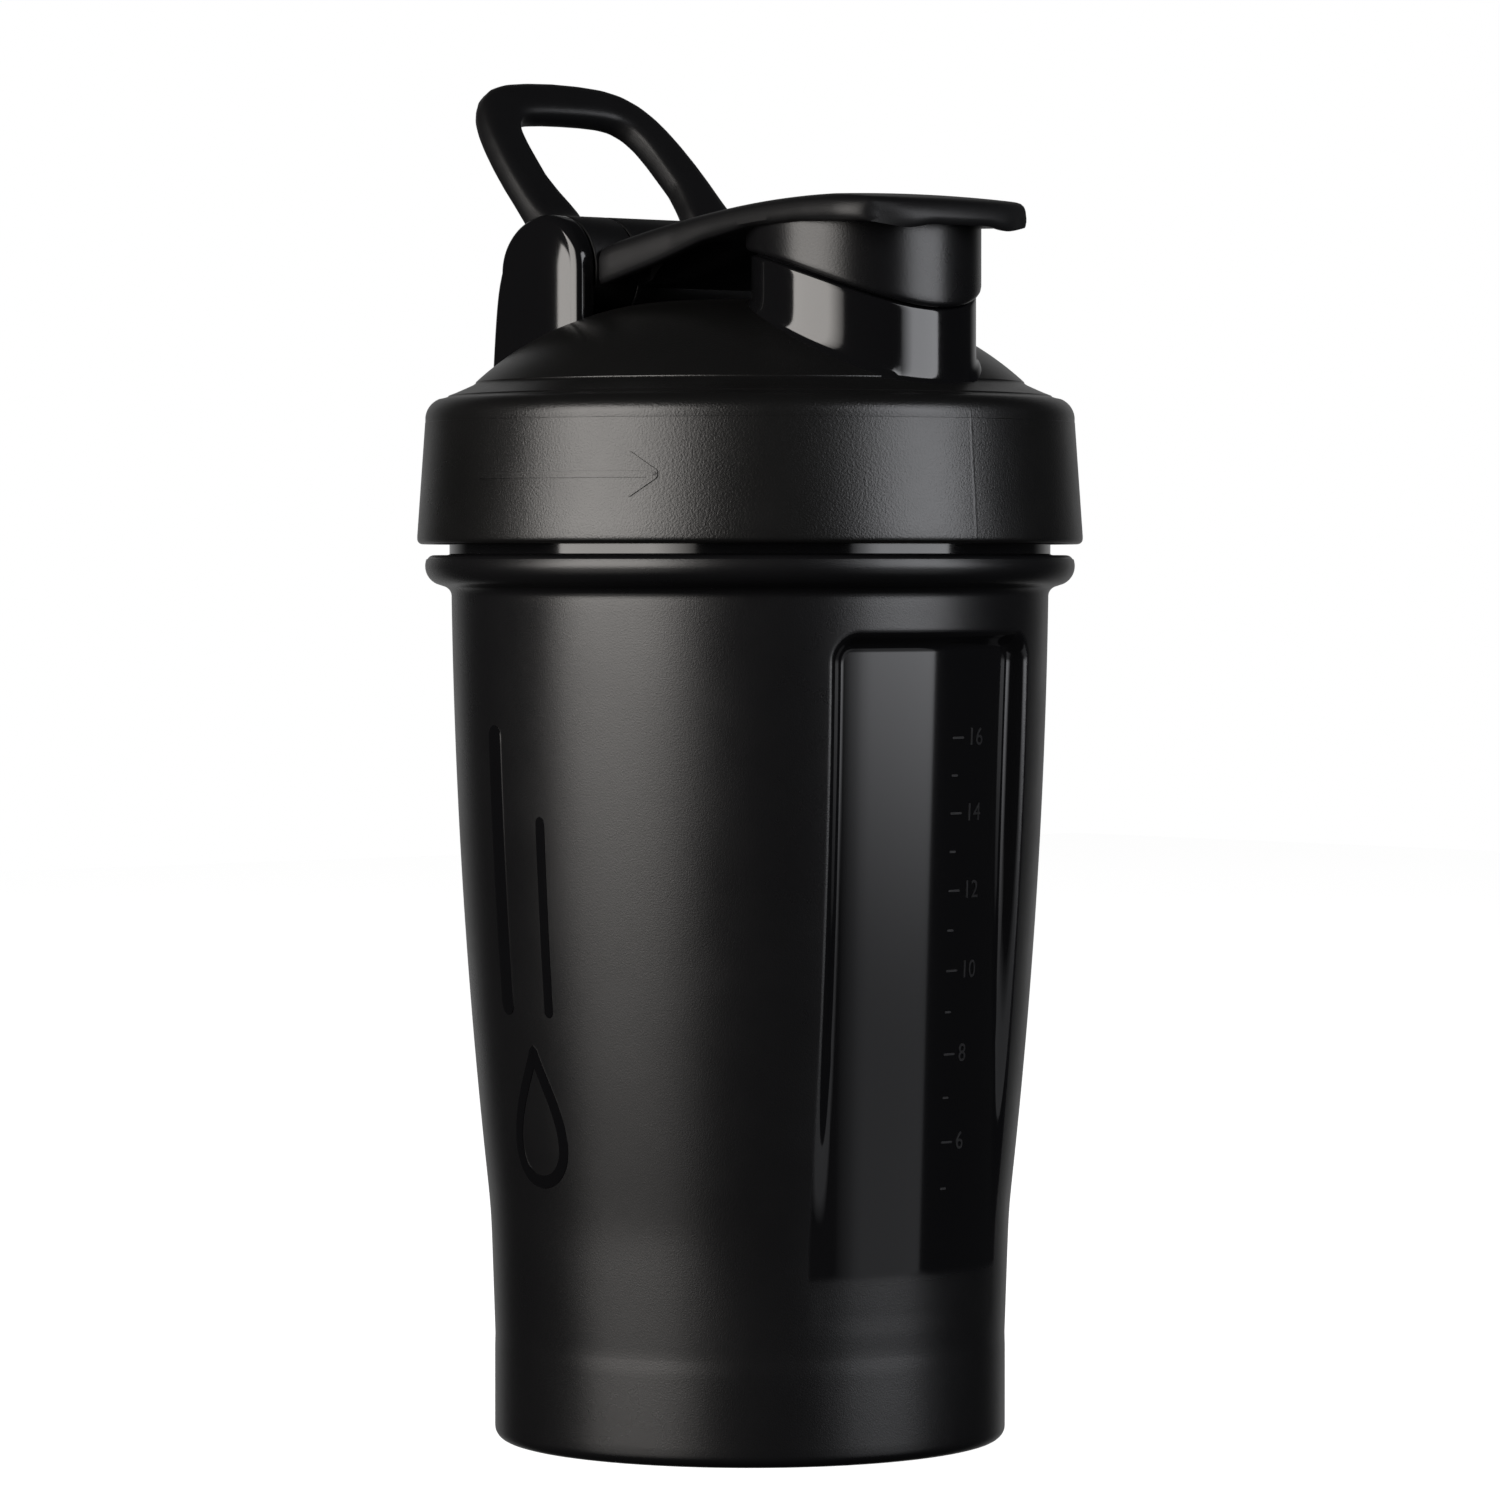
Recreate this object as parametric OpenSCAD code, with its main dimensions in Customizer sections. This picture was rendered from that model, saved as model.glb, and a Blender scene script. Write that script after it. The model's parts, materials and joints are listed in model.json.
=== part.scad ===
// Protein shaker bottle: a tapered jar with a recessed window, a screw lid with a spout and two hinge
// towers, a flip cap and a carry loop on one hinge pin, a lid gasket, a spout plug and a wire whisk ball.
// Millimetres, +Z up. The origin is the centre of the foot; the spout points to -Y and the hinge is at +Y.

/* [Jar] */
// Radius of the straight band above the foot
band_r = 37.8; // [37:0.1:38.2]
// Height of the straight band
band_h = 16; // [12:0.5:18]
// Height at which the flare starts
flare_z = 35; // [34:0.5:37]
// Radius at the foot of the flare
flare_r0 = 38.5; // [38.4:0.05:38.7]
// Largest radius that the flare reaches
flare_top_r = 44.2; // [44:0.05:44.3]
// Height of the flare's largest radius, above the bead
flare_apex_z = 137.6; // [136:0.1:140]
// Radius of the flare's long arc
flare_arc_r = 922; // [900:1:950]
// Radius of the bead below the lid
bead_r = 48; // [47:0.1:48.5]
// Outer radius of the neck
neck_r = 44.4; // [44.2:0.05:44.5]
// Height of the rim
rim_z = 151.2; // [150.6:0.1:151.2]
// Wall thickness
wall = 1.8; // [1.5:0.1:2]
// Thickness of the floor
floor_t = 2.4; // [2:0.1:3]
// Depth of the recess under the floor
foot_recess = 1; // [0.6:0.1:1.4]

/* [Window] */
// Half the width of the recessed window
win_half_w = 18.6; // [16:0.2:20]
// Height of the window's lower edge
win_z0 = 36; // [36:0.5:45]
// Height of the window's upper edge
win_z1 = 118.5; // [100:0.5:119]
// Corner radius of the window
win_corner = 3; // [2:0.25:6]
// Radius of the window's panel at its lower edge
win_r0 = 38.4; // [38.2:0.05:38.4]
// Radius of the window's panel at its upper edge
win_r1 = 41.55; // [41.2:0.05:42.5]

/* [Lid] */
// Height of the skirt's lower edge
skirt_z = 132.2; // [132:0.1:134]
// Outer radius of the skirt at its lower edge
skirt_r0 = 49.2; // [49:0.1:50]
// Outer radius of the skirt at its shoulder
skirt_r1 = 47.9; // [47.8:0.1:48.5]
// Height of the crisp ledge where the dome starts
ledge_z = 156.3; // [156.2:0.05:156.4]
// Radius of the dome's arc
dome_arc = 45; // [45:0.1:45.4]
// Radius of the flat crown of the dome
crown_r = 10; // [9.8:0.1:10.2]
// Height of the crown
crown_z = 168; // [167.9:0.05:168.1]
// Wall thickness of the dome
dome_wall = 2; // [1.8:0.1:2.2]
// Height of the ceiling that presses on the gasket
ceiling_z = 152.5; // [152.4:0.05:152.6]

/* [Thread] */
// Rise of the thread in one turn
pitch = 5; // [5:0.5:6]
// Height of the thread's ridges from crest to root
ridge_h = 1.2; // [1:0.05:1.2]
// Turns of thread on the neck
neck_turns = 1.5; // [1.25:0.25:1.5]
// Turns of thread in the lid
lid_turns = 1.25; // [1:0.25:1.25]

/* [Spout] */
// Distance of the spout's axis in front of the bottle's axis
spout_y = 25.1; // [24.6:0.1:25.6]
// Outer radius of the spout
spout_r = 16.3; // [16:0.1:16.4]
// Outer radius of the spout's lip, inside the cap's collar
lip_r = 15.3; // [15.1:0.05:15.3]
// Inner radius of the spout
spout_bore_r = 13.6; // [13.5:0.05:13.8]
// Height of the spout's rim
spout_rim_z = 176; // [175.5:0.1:176.2]

/* [Hinge] */
// Distance of the hinge axis behind the bottle's axis
hinge_y = 19.3; // [19:0.1:19.6]
// Height of the hinge axis
hinge_z = 172.6; // [172.4:0.1:172.8]
// Radius of the knuckles
knuckle_r = 8.2; // [8:0.05:8.2]
// Radius of the hinge pin
pin_r = 2; // [1.8:0.1:2.2]
// Running clearance of the knuckles on the pin
pin_gap = 0.05; // [0.03:0.01:0.08]
// Half the gap between the towers
tower_in = 20.55; // [20.5:0.05:20.7]
// Thickness of a tower
tower_t = 4.5; // [4:0.1:5]
// Half the width of the flip cap's knuckle
cap_knuckle_w = 12; // [11:0.1:12]

/* [Flip cap] */
// Height of the cap's highest point
cap_top_z = 182; // [181.8:0.1:182.4]
// Radius of the cap's long arc, seen from the side
cap_arc_r = 190; // [180:1:200]
// Distance of the cap's highest point in front of the bottle's axis
cap_apex_y = 36; // [35:0.5:37]
// Half the width of the arm at its root
arm_root_w = 20.3; // [19.5:0.1:20.4]
// Half the width of the head
head_w = 18.2; // [17.8:0.1:18.6]
// Distance of the thumb tab's edge from the bottle's axis
tab_r = 47; // [45:0.5:47]
// Half the angle that the thumb tab spans
tab_angle = 22; // [18:1:22]
// Outer radius of the collar round the spout's lip
collar_r = 17.05; // [16.9:0.05:17.3]
// Inner radius of the collar
collar_bore_r = 15.75; // [15.7:0.05:15.9]
// Radius of the soft plug that closes the spout
plug_r = 13; // [12.8:0.05:13.1]

/* [Carry loop] */
// Lean of the loop behind the vertical
loop_lean = 44.3; // [40:0.1:46]
// Distance from the hinge axis to the loop's outer edge
loop_len = 40.8; // [38:0.1:41]
// Thickness of the loop
loop_t = 4.3; // [3.6:0.1:4.6]
// Width of the loop's top bar
loop_bar = 7; // [5:0.1:7.5]

/* [Whisk ball] */
// Outer radius of the ball
ball_r = 25; // [22:0.5:27]
// Radius of the wire
wire_r = 1.1; // [0.9:0.1:1.3]
// Turns of wire from pole to pole
ball_turns = 8; // [6:1:9]

/* [Hidden] */
$fn = 96;
bead_z = 129;            // height of the bead's widest ring
bead_top_z = 130.6;      // flat top of the bead
neck_bore_r = neck_r - wall;
skirt_shoulder_z = 150.6;
gasket_t = 1.15;
thread_z = 139;          // height at which the neck's thread starts
thread_land = 1.5;       // axial thickness of a ridge at its root
trough_gap = 0.6;        // clearance of the knuckles in the lid's trough
trough_wall = 1.8;
tower_r = knuckle_r + 0.05;
tower_rear = 10.2;       // half depth of a tower behind the hinge axis
tower_flare = 2.3;       // how far a tower's rear edge runs out at its foot
knuckle_gap = 0.3;       // axial gap beside each knuckle
collar_cut_r = 66;       // the collar's lower edge lies on a cylinder across the bottle
collar_cut_y = -9.2;
collar_cut_z = 108.8;
cap_root_y = 10.6;       // front of the knuckles, where the arm starts
steps_a_turn = 36;

// Points of an arc about [cx, cy], from angle a0 to a1 in n steps
function arc(cx, cy, r, a0, a1, n) = [for (i = [0:n]) let (a = a0 + (a1 - a0) * i / n)
    [cx + r * cos(a), cy + r * sin(a)]];

// The same outline mirrored to the other side, in reverse order, so that it closes the first
function mirrored(points) = [for (i = [len(points) - 1:-1:0]) [-points[i][0], points[i][1]]];

// Outer radius of the jar's flare at height z
function flare(z) = flare_top_r - flare_arc_r + sqrt(pow(flare_arc_r, 2) - pow(z - flare_apex_z, 2));

// Top of the flip cap, seen from the side
function cap_top(y) = cap_top_z - cap_arc_r + sqrt(pow(cap_arc_r, 2) - pow(y + cap_apex_y, 2));

// A side view drawn in [y, z], extruded along X from x0 to x1
module along_x(x0, x1) {
    translate([x0, 0, 0]) rotate([90, 0, 90]) linear_extrude(x1 - x0) children();
}

// A cylinder along X on the hinge axis
module hinge_cylinder(r, x0, x1) {
    translate([x0, hinge_y, hinge_z]) rotate([0, 90, 0]) cylinder(r = r, h = x1 - x0);
}

// A ridge of thread: four-sided section between a root and a crest radius, tapered to nothing at its ends
module thread(root_r, crest_r, z0, turns) {
    n = ceil(turns * steps_a_turn);
    taper = 4;
    rings = [for (i = [0:n])
        let (a = 360 * turns * i / n,
             grow = min(1, min(i, n - i) / taper),
             tip = root_r + (crest_r - root_r) * (0.35 + 0.65 * grow),
             z = z0 + pitch * a / 360,
             land = thread_land / 2,
             crest = land * 0.5)
        for (p = [[root_r, z - land], [tip, z - crest], [tip, z + crest], [root_r, z + land]])
            [p[0] * cos(a), p[0] * sin(a), p[1]]];
    side = crest_r > root_r ? [3, 2, 1, 0] : [0, 1, 2, 3];
    walls = [for (i = [0:n - 1], k = [0:3])
        let (a = i * 4 + side[k], b = i * 4 + side[(k + 1) % 4])
        each [[a, a + 4, b + 4], [a, b + 4, b]]];
    polyhedron(rings, concat([[for (k = side) k]], [[for (k = [3:-1:0]) n * 4 + side[k]]], walls));
}

// Space outside the window's panel and inside its outline; grow moves the panel in and the outline out
module window_space(grow) {
    z0 = win_z0 - grow;
    z1 = win_z1 + grow;
    c = win_corner + grow;
    w = win_half_w + grow;
    slope = (win_r1 - win_r0) / (win_z1 - win_z0);
    half = concat(arc(w - c, z0 + c, c, -90, 0, 6), arc(w - c, z1 - c, c, 0, 90, 6));
    intersection() {
        rotate([90, 0, 0]) linear_extrude(60) polygon(concat(half, mirrored(half)));
        rotate_extrude() polygon([
            [win_r0 - grow - slope * 5, win_z0 - 5], [60, win_z0 - 5],
            [60, win_z1 + 5], [win_r1 - grow + slope * 5, win_z1 + 5]]);
    }
}

module jar() {
    foot = 1.8;
    flare_zs = [for (i = [1:9]) flare_z + (bead_z - 4 - flare_z) * i / 9];
    outer = concat(
        [[0, foot_recess], [band_r - 5.6, foot_recess], [band_r - 5, 0]],
        arc(band_r - foot, foot, foot, -90, 0, 6),
        [[band_r, band_h], [flare_r0, flare_z]],
        [for (z = flare_zs) [flare(z), z]],
        [[45.1, 125.8], [46.5, 126.7], [47.5, 127.8], [bead_r, bead_z],
         [bead_r - 0.4, bead_z + 1], [bead_r - 1.1, bead_top_z], [neck_r + 0.4, bead_top_z],
         [neck_r, bead_top_z + 0.6], [neck_r, rim_z - 0.5], [neck_r - 0.5, rim_z], [0, rim_z]]);
    inner_zs = [for (i = [0:8]) flare_z + (bead_z - 6 - flare_z) * i / 8];
    inner = concat(
        [[0, foot_recess + floor_t]],
        arc(band_r - wall - 4, foot_recess + floor_t + 4, 4, -90, 0, 6),
        [[band_r - wall, band_h]],
        [for (z = inner_zs) [min(flare(z) - wall, neck_bore_r), z]],
        [[neck_bore_r, bead_z + 4], [neck_bore_r, rim_z + 1], [0, rim_z + 1]]);
    color([0.075, 0.075, 0.08]) union() {
        difference() {
            rotate_extrude() polygon(outer);
            window_space(0);
            difference() {
                rotate_extrude() polygon(inner);
                window_space(wall);
            }
        }
        thread(neck_r - 0.5, neck_r + ridge_h, thread_z, neck_turns);
    }
}

// Outer form of the skirt, shoulder and dome, filled
module lid_form() {
    dome_z0 = crown_z - dome_arc;
    start = asin((ledge_z - dome_z0) / dome_arc);
    rotate_extrude() polygon(concat(
        [[0, skirt_z], [skirt_r0 - 1, skirt_z]],
        arc(skirt_r0 - 0.8, skirt_z + 0.8, 0.8, -90, 0, 4),
        arc(skirt_r1 - 3.2, skirt_shoulder_z, 3.2, 0, 64, 5),
        [[44.3, 154.3]],
        arc(crown_r, dome_z0, dome_arc, start, 90, 14),
        [[0, crown_z]]));
}

// Space inside the lid: the dome's inner face, the gasket's ceiling and the skirt's bore
module lid_space() {
    dome_z0 = crown_z - dome_arc;
    inner_arc = dome_arc - dome_wall;
    start = asin((ceiling_z - dome_z0) / inner_arc);
    difference() {
        rotate_extrude() polygon(concat(
            [[0, skirt_z - 1], [skirt_r0 - 2.3, skirt_z - 1], [skirt_r1 - 1.9, ceiling_z]],
            arc(crown_r, dome_z0, inner_arc, start, 90, 12),
            [[0, dome_z0 + inner_arc]]));
        hinge_cylinder(knuckle_r + trough_gap + trough_wall, -tower_in - 2, tower_in + 2);
    }
}

// One hinge tower from x0 to x1: an arch over the hinge axis, deeper behind it, that runs out at the foot
module tower(x0, x1) {
    foot_z = 150;
    arch = [for (a = [0:7.5:180])
        [hinge_y + (a < 90 ? tower_rear : tower_r) * cos(a), hinge_z + tower_r * sin(a)]];
    along_x(x0, x1) polygon(concat(
        [[hinge_y - tower_r, foot_z], [hinge_y + tower_rear + tower_flare, foot_z],
         [hinge_y + tower_rear + tower_flare * 0.45, hinge_z - 4]],
        arch));
}

// Cylinder across the bottle that the collar's lower edge follows
module collar_cylinder(r) {
    translate([-30, collar_cut_y, collar_cut_z]) rotate([0, 90, 0]) cylinder(r = r, h = 60);
}

module lid() {
    spout_foot_z = 150;
    color([0.05, 0.05, 0.055]) union() {
        difference() {
            union() {
                lid_form();
                intersection() {
                    translate([0, -spout_y, spout_foot_z]) cylinder(r = spout_r, h = 27);
                    collar_cylinder(collar_cut_r - 0.4);
                }
                translate([0, -spout_y, spout_foot_z]) cylinder(r = lip_r, h = spout_rim_z - spout_foot_z);
                tower(-tower_in - tower_t, -tower_in);
                tower(tower_in, tower_in + tower_t);
            }
            lid_space();
            translate([0, -spout_y, spout_foot_z - 6]) cylinder(r = spout_bore_r, h = 40);
            hinge_cylinder(knuckle_r + trough_gap, -tower_in, tower_in);
            hinge_cylinder(pin_r, -tower_in - 3, tower_in + 3);
        }
        thread(skirt_r1 - 0.5, neck_r + 0.65, thread_z - pitch / 2 + 0.15, lid_turns);
    }
}

module lid_gasket() {
    color([0.16, 0.16, 0.17]) rotate_extrude() polygon([
        [42.1, ceiling_z - 0.05 - gasket_t], [44.9, ceiling_z - 0.05 - gasket_t],
        [44.9, ceiling_z - 0.05], [42.1, ceiling_z - 0.05]]);
}

module hinge_pin() {
    color([0.7, 0.7, 0.72]) hinge_cylinder(pin_r, -tower_in - 3, tower_in + 3);
}

// Plan of the flip cap from its root to the tip of the thumb tab
module cap_plan() {
    corner = 2.5;
    tab_x = tab_r * sin(tab_angle);
    tab_y = -tab_r * cos(tab_angle);
    half = concat(
        [[arm_root_w, cap_root_y + 1], [arm_root_w, cap_root_y - 1.5], [head_w + 0.5, -6],
         [head_w, -16], [head_w, -spout_y - 2], [head_w - 0.7, -spout_y - 9]],
        arc(tab_x - corner + 0.6, tab_y + corner, corner, 0, -70, 5),
        arc(0, 0, tab_r, -90 + tab_angle - 5, -90, 5));
    polygon(concat(half, mirrored(half)));
}

// Side of the flip cap: one long arc above, and an underside that thins from the root to the head
module cap_side() {
    under = [[cap_root_y + 1, 170.2], [0, 173.2], [-8.5, 176.7], [-14, 177.5], [-19, 177.8], [-43.2, 177.8],
             [-44, 178.2], [-tab_r, 177.2], [-tab_r - 1, 177.2]];
    top = [for (i = [0:12]) let (y = -tab_r - 1 + (cap_root_y + tab_r + 2) * i / 12) [y, cap_top(y)]];
    polygon(concat(under, top));
}

module flip_cap() {
    color([0.065, 0.065, 0.07]) difference() {
        union() {
            difference() {
                intersection() {
                    translate([0, 0, 160]) linear_extrude(30) cap_plan();
                    along_x(-30, 30) cap_side();
                }
                // the arm's root runs round the loop's knuckles
                hinge_cylinder(knuckle_r + 0.5, -30, 30);
            }
            hinge_cylinder(knuckle_r, -cap_knuckle_w, cap_knuckle_w);
            along_x(-cap_knuckle_w, cap_knuckle_w)
                polygon([[9.5, 170.6], [13, 169], [13, 176], [9.5, cap_top(9.5)]]);
            difference() {
                translate([0, -spout_y, 160]) cylinder(r = collar_r, h = 19);
                collar_cylinder(collar_cut_r);
                translate([0, -spout_y, 150]) cylinder(r = collar_bore_r, h = 28);
            }
            // boss that the plug is pushed over
            translate([0, -spout_y, 173]) cylinder(r = plug_r - 2.5, h = 6);
        }
        hinge_cylinder(pin_r + pin_gap, -30, 30);
    }
}

module spout_plug() {
    lip = 0.9;
    plug_top = 177.8;
    plug_z = 170.6;
    color([0.16, 0.16, 0.17]) translate([0, -spout_y, 0]) rotate_extrude() polygon([
        [0, plug_z], [plug_r - 1.6, plug_z], [plug_r - 0.5, plug_z + lip], [plug_r, plug_z + 2 * lip],
        [plug_r, plug_z + 3 * lip], [plug_r - 0.6, plug_z + 4 * lip], [plug_r - 0.6, plug_top],
        [plug_r - 2.5, plug_top], [plug_r - 2.5, 173], [0, 173]]);
}

// Plan of the loop in its own plane: [across, distance from the hinge axis]
module loop_plan() {
    leg_x = tower_in - knuckle_gap - 0.5;
    corner = 8;
    corner_x = 9.6;
    lean = 9;
    crown = (corner_x + corner * sin(lean)) / sin(lean);
    corner_y = loop_len - crown * (1 - cos(lean)) - corner * cos(lean);
    outer = concat(
        [[0, 0], [leg_x, 0], [leg_x, 15], [19.2, 24], [18.6, 28]],
        arc(corner_x, corner_y, corner, 5, 90 - lean, 10),
        arc(0, loop_len - crown, crown, 90 - lean, 90, 4));
    bore_x = cap_knuckle_w + knuckle_gap + 0.3;
    bore = 4;
    bore_cx = 7.9;
    bore_cy = loop_len - loop_bar - bore - 0.3;
    inner = concat(
        [[0, -12], [bore_x, -12], [bore_x, 10], [12.5, 19]],
        arc(bore_cx, bore_cy, bore, 0, 90 - lean, 8),
        [[0, loop_len - loop_bar]]);
    difference() {
        polygon(concat(outer, mirrored(outer)));
        polygon(concat(inner, mirrored(inner)));
    }
}

module carry_loop() {
    color([0.065, 0.065, 0.07]) difference() {
        union() {
            translate([0, hinge_y, hinge_z]) rotate([90 - loop_lean, 0, 0])
                translate([0, 0, -loop_t / 2]) linear_extrude(loop_t) loop_plan();
            for (side = [-1, 1])
                hinge_cylinder(knuckle_r,
                    side > 0 ? cap_knuckle_w + knuckle_gap : -tower_in + knuckle_gap,
                    side > 0 ? tower_in - knuckle_gap : -cap_knuckle_w - knuckle_gap);
        }
        hinge_cylinder(pin_r + pin_gap, -30, 30);
    }
}

// One wire wound on a sphere from pole to pole
module whisk_ball() {
    sides = 8;
    coil_r = ball_r - wire_r;
    ball_z = foot_recess + floor_t + ball_r + 0.2;
    n = ball_turns * 22;
    tilt0 = 14;
    function on_ball(i) =
        let (tilt = tilt0 + (180 - 2 * tilt0) * i / n, a = 360 * ball_turns * i / n)
        coil_r * [sin(tilt) * cos(a), sin(tilt) * sin(a), cos(tilt)];
    rings = [for (i = [0:n])
        let (here = on_ball(i), ahead = on_ball(i + 0.5) - on_ball(i - 0.5),
             out = here / norm(here), across = cross(ahead, out) / norm(cross(ahead, out)))
        for (k = [0:sides - 1]) let (b = 360 * k / sides)
            here + wire_r * (out * cos(b) + across * sin(b)) + [0, 0, ball_z]];
    walls = [for (i = [0:n - 1], k = [0:sides - 1])
        let (a = i * sides + k, b = i * sides + (k + 1) % sides)
        each [[a, b, b + sides], [a, b + sides, a + sides]]];
    color([0.75, 0.75, 0.77]) polyhedron(rings, concat(
        [[for (k = [sides - 1:-1:0]) k]], [[for (k = [0:sides - 1]) n * sides + k]], walls));
}

jar();
lid();
lid_gasket();
hinge_pin();
flip_cap();
spout_plug();
carry_loop();
whisk_ball();
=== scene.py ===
# A black protein shaker: tapered jar, screw lid with spout and hinge towers, flip cap, carry loop.
import json
import math
import bpy
import numpy as np
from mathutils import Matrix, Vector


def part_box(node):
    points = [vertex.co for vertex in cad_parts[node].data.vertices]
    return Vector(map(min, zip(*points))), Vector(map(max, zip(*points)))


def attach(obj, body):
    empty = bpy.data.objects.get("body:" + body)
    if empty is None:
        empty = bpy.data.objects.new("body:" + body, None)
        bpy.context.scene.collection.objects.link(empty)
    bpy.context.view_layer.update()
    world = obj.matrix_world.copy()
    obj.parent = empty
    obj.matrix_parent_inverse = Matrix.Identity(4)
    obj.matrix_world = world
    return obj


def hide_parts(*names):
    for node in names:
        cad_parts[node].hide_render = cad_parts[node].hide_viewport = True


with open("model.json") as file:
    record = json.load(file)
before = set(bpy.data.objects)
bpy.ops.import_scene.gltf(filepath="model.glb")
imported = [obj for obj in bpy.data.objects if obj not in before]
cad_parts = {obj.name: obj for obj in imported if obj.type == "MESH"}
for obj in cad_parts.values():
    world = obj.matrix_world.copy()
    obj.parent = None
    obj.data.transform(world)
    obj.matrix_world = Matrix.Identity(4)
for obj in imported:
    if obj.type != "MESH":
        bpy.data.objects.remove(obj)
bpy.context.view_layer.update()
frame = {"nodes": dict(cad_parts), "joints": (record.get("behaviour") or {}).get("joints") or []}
nodes = frame["nodes"]
joints = {joint["name"]: joint for joint in frame["joints"]}

# --- Studio ---------------------------------------------------------------------------------------
# A long lens at table height, a pale floor that runs into a white backdrop, and two tall softboxes
# beside the camera, the left one wider and slightly warm and the right one narrower and cooler.
mm = 0.001
camera_side = math.radians(-41)
camera_distance = 995 * mm
camera_height = 129 * mm
camera_pitch = math.radians(1.567)
toward_camera = np.array([math.sin(camera_side), -math.cos(camera_side), 0])
camera_right = np.array([math.cos(camera_side), math.sin(camera_side), 0])

camera_data = bpy.data.cameras.new("camera")
camera_data.sensor_width = 36
camera_data.lens = 161.4
camera_data.clip_start = 0.05
camera = bpy.data.objects.new("camera", camera_data)
camera.location = toward_camera * camera_distance + np.array([0, 0, camera_height])
camera.rotation_euler = (math.pi / 2 - camera_pitch, 0, camera_side)
bpy.context.scene.collection.objects.link(camera)
bpy.context.scene.camera = camera
bpy.context.scene.view_settings.view_transform = "Standard"


def softbox(name, near, far, radiance, colour, distance=1.2, low=-34, high=34):
    """A flat light facing the bottle's axis, between two directions in degrees right of the camera and two
    heights in degrees above the lid. It fades towards the camera's side, and towards the table."""
    middle, half = math.radians((near + far) / 2), math.radians(abs(far - near) / 2)
    out = toward_camera * math.cos(middle) + camera_right * math.sin(middle)
    bottom = distance * math.tan(math.radians(low))
    top = distance * math.tan(math.radians(high))
    data = bpy.data.lights.new(name, "AREA")
    data.shape = "RECTANGLE"
    data.size = 2 * distance * math.tan(half)
    data.size_y = top - bottom
    data.energy = radiance * math.pi * data.size * data.size_y
    data.color = colour
    data.use_nodes = True
    tree = data.node_tree
    link = tree.links.new
    place = tree.nodes.new("ShaderNodeNewGeometry")
    split = tree.nodes.new("ShaderNodeSeparateXYZ")
    link(place.outputs["Parametric"], split.inputs["Vector"])
    sideways = tree.nodes.new("ShaderNodeMapRange")
    sideways.inputs["From Min"].default_value = 0.0 if far > 0 else 1.0
    sideways.inputs["From Max"].default_value = 0.3 if far > 0 else 0.7
    sideways.inputs["To Min"].default_value = 0.12
    link(split.outputs["X"], sideways.inputs["Value"])
    upward = tree.nodes.new("ShaderNodeValToRGB")
    upward.color_ramp.interpolation = "EASE"
    stops = upward.color_ramp.elements
    stops[0].position, stops[0].color = 0.36, (0.1, 0.1, 0.1, 1)
    stops[1].position, stops[1].color = 0.5, (1, 1, 1, 1)
    link(split.outputs["Y"], upward.inputs["Fac"])
    share = tree.nodes.new("ShaderNodeMath")
    share.operation = "MULTIPLY"
    link(sideways.outputs["Result"], share.inputs[0])
    link(upward.outputs["Color"], share.inputs[1])
    link(share.outputs["Value"], tree.nodes["Emission"].inputs["Strength"])
    light = bpy.data.objects.new(name, data)
    light.location = out * distance + np.array([0, 0, 135 * mm + (top + bottom) / 2])
    light.rotation_euler = (math.pi / 2, 0, math.atan2(-out[0], out[1]) + math.pi)
    bpy.context.scene.collection.objects.link(light)


softbox("softbox_left", -20, -76, 7.6, (1.0, 0.96, 0.92))
softbox("softbox_right", 38, 80, 5.0, (0.95, 0.96, 1.0))


def studio_world():
    """White wherever the camera looks straight at it; as a reflection, white only behind the bottle."""
    world = bpy.data.worlds.new("studio")
    world.use_nodes = True
    tree = world.node_tree
    tree.nodes.clear()
    link = tree.links.new
    place = tree.nodes.new("ShaderNodeTexCoord")
    along = tree.nodes.new("ShaderNodeVectorMath")
    along.operation = "DOT_PRODUCT"
    along.inputs[1].default_value = -toward_camera
    ramp = tree.nodes.new("ShaderNodeMapRange")
    ramp.interpolation_type = "SMOOTHSTEP"
    ramp.inputs["From Min"].default_value = 0.74
    ramp.inputs["From Max"].default_value = 0.96
    ramp.inputs["To Min"].default_value = 0.012
    ramp.inputs["To Max"].default_value = 0.32
    seen = tree.nodes.new("ShaderNodeLightPath")
    most = tree.nodes.new("ShaderNodeMath")
    most.operation = "MAXIMUM"
    light = tree.nodes.new("ShaderNodeBackground")
    light.inputs["Color"].default_value = (1, 1, 1, 1)
    out = tree.nodes.new("ShaderNodeOutputWorld")
    link(place.outputs["Generated"], along.inputs[0])
    link(along.outputs["Value"], ramp.inputs["Value"])
    link(ramp.outputs["Result"], most.inputs[0])
    link(seen.outputs["Is Camera Ray"], most.inputs[1])
    link(most.outputs["Value"], light.inputs["Strength"])
    link(light.outputs["Background"], out.inputs["Surface"])
    bpy.context.scene.world = world


studio_world()


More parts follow.
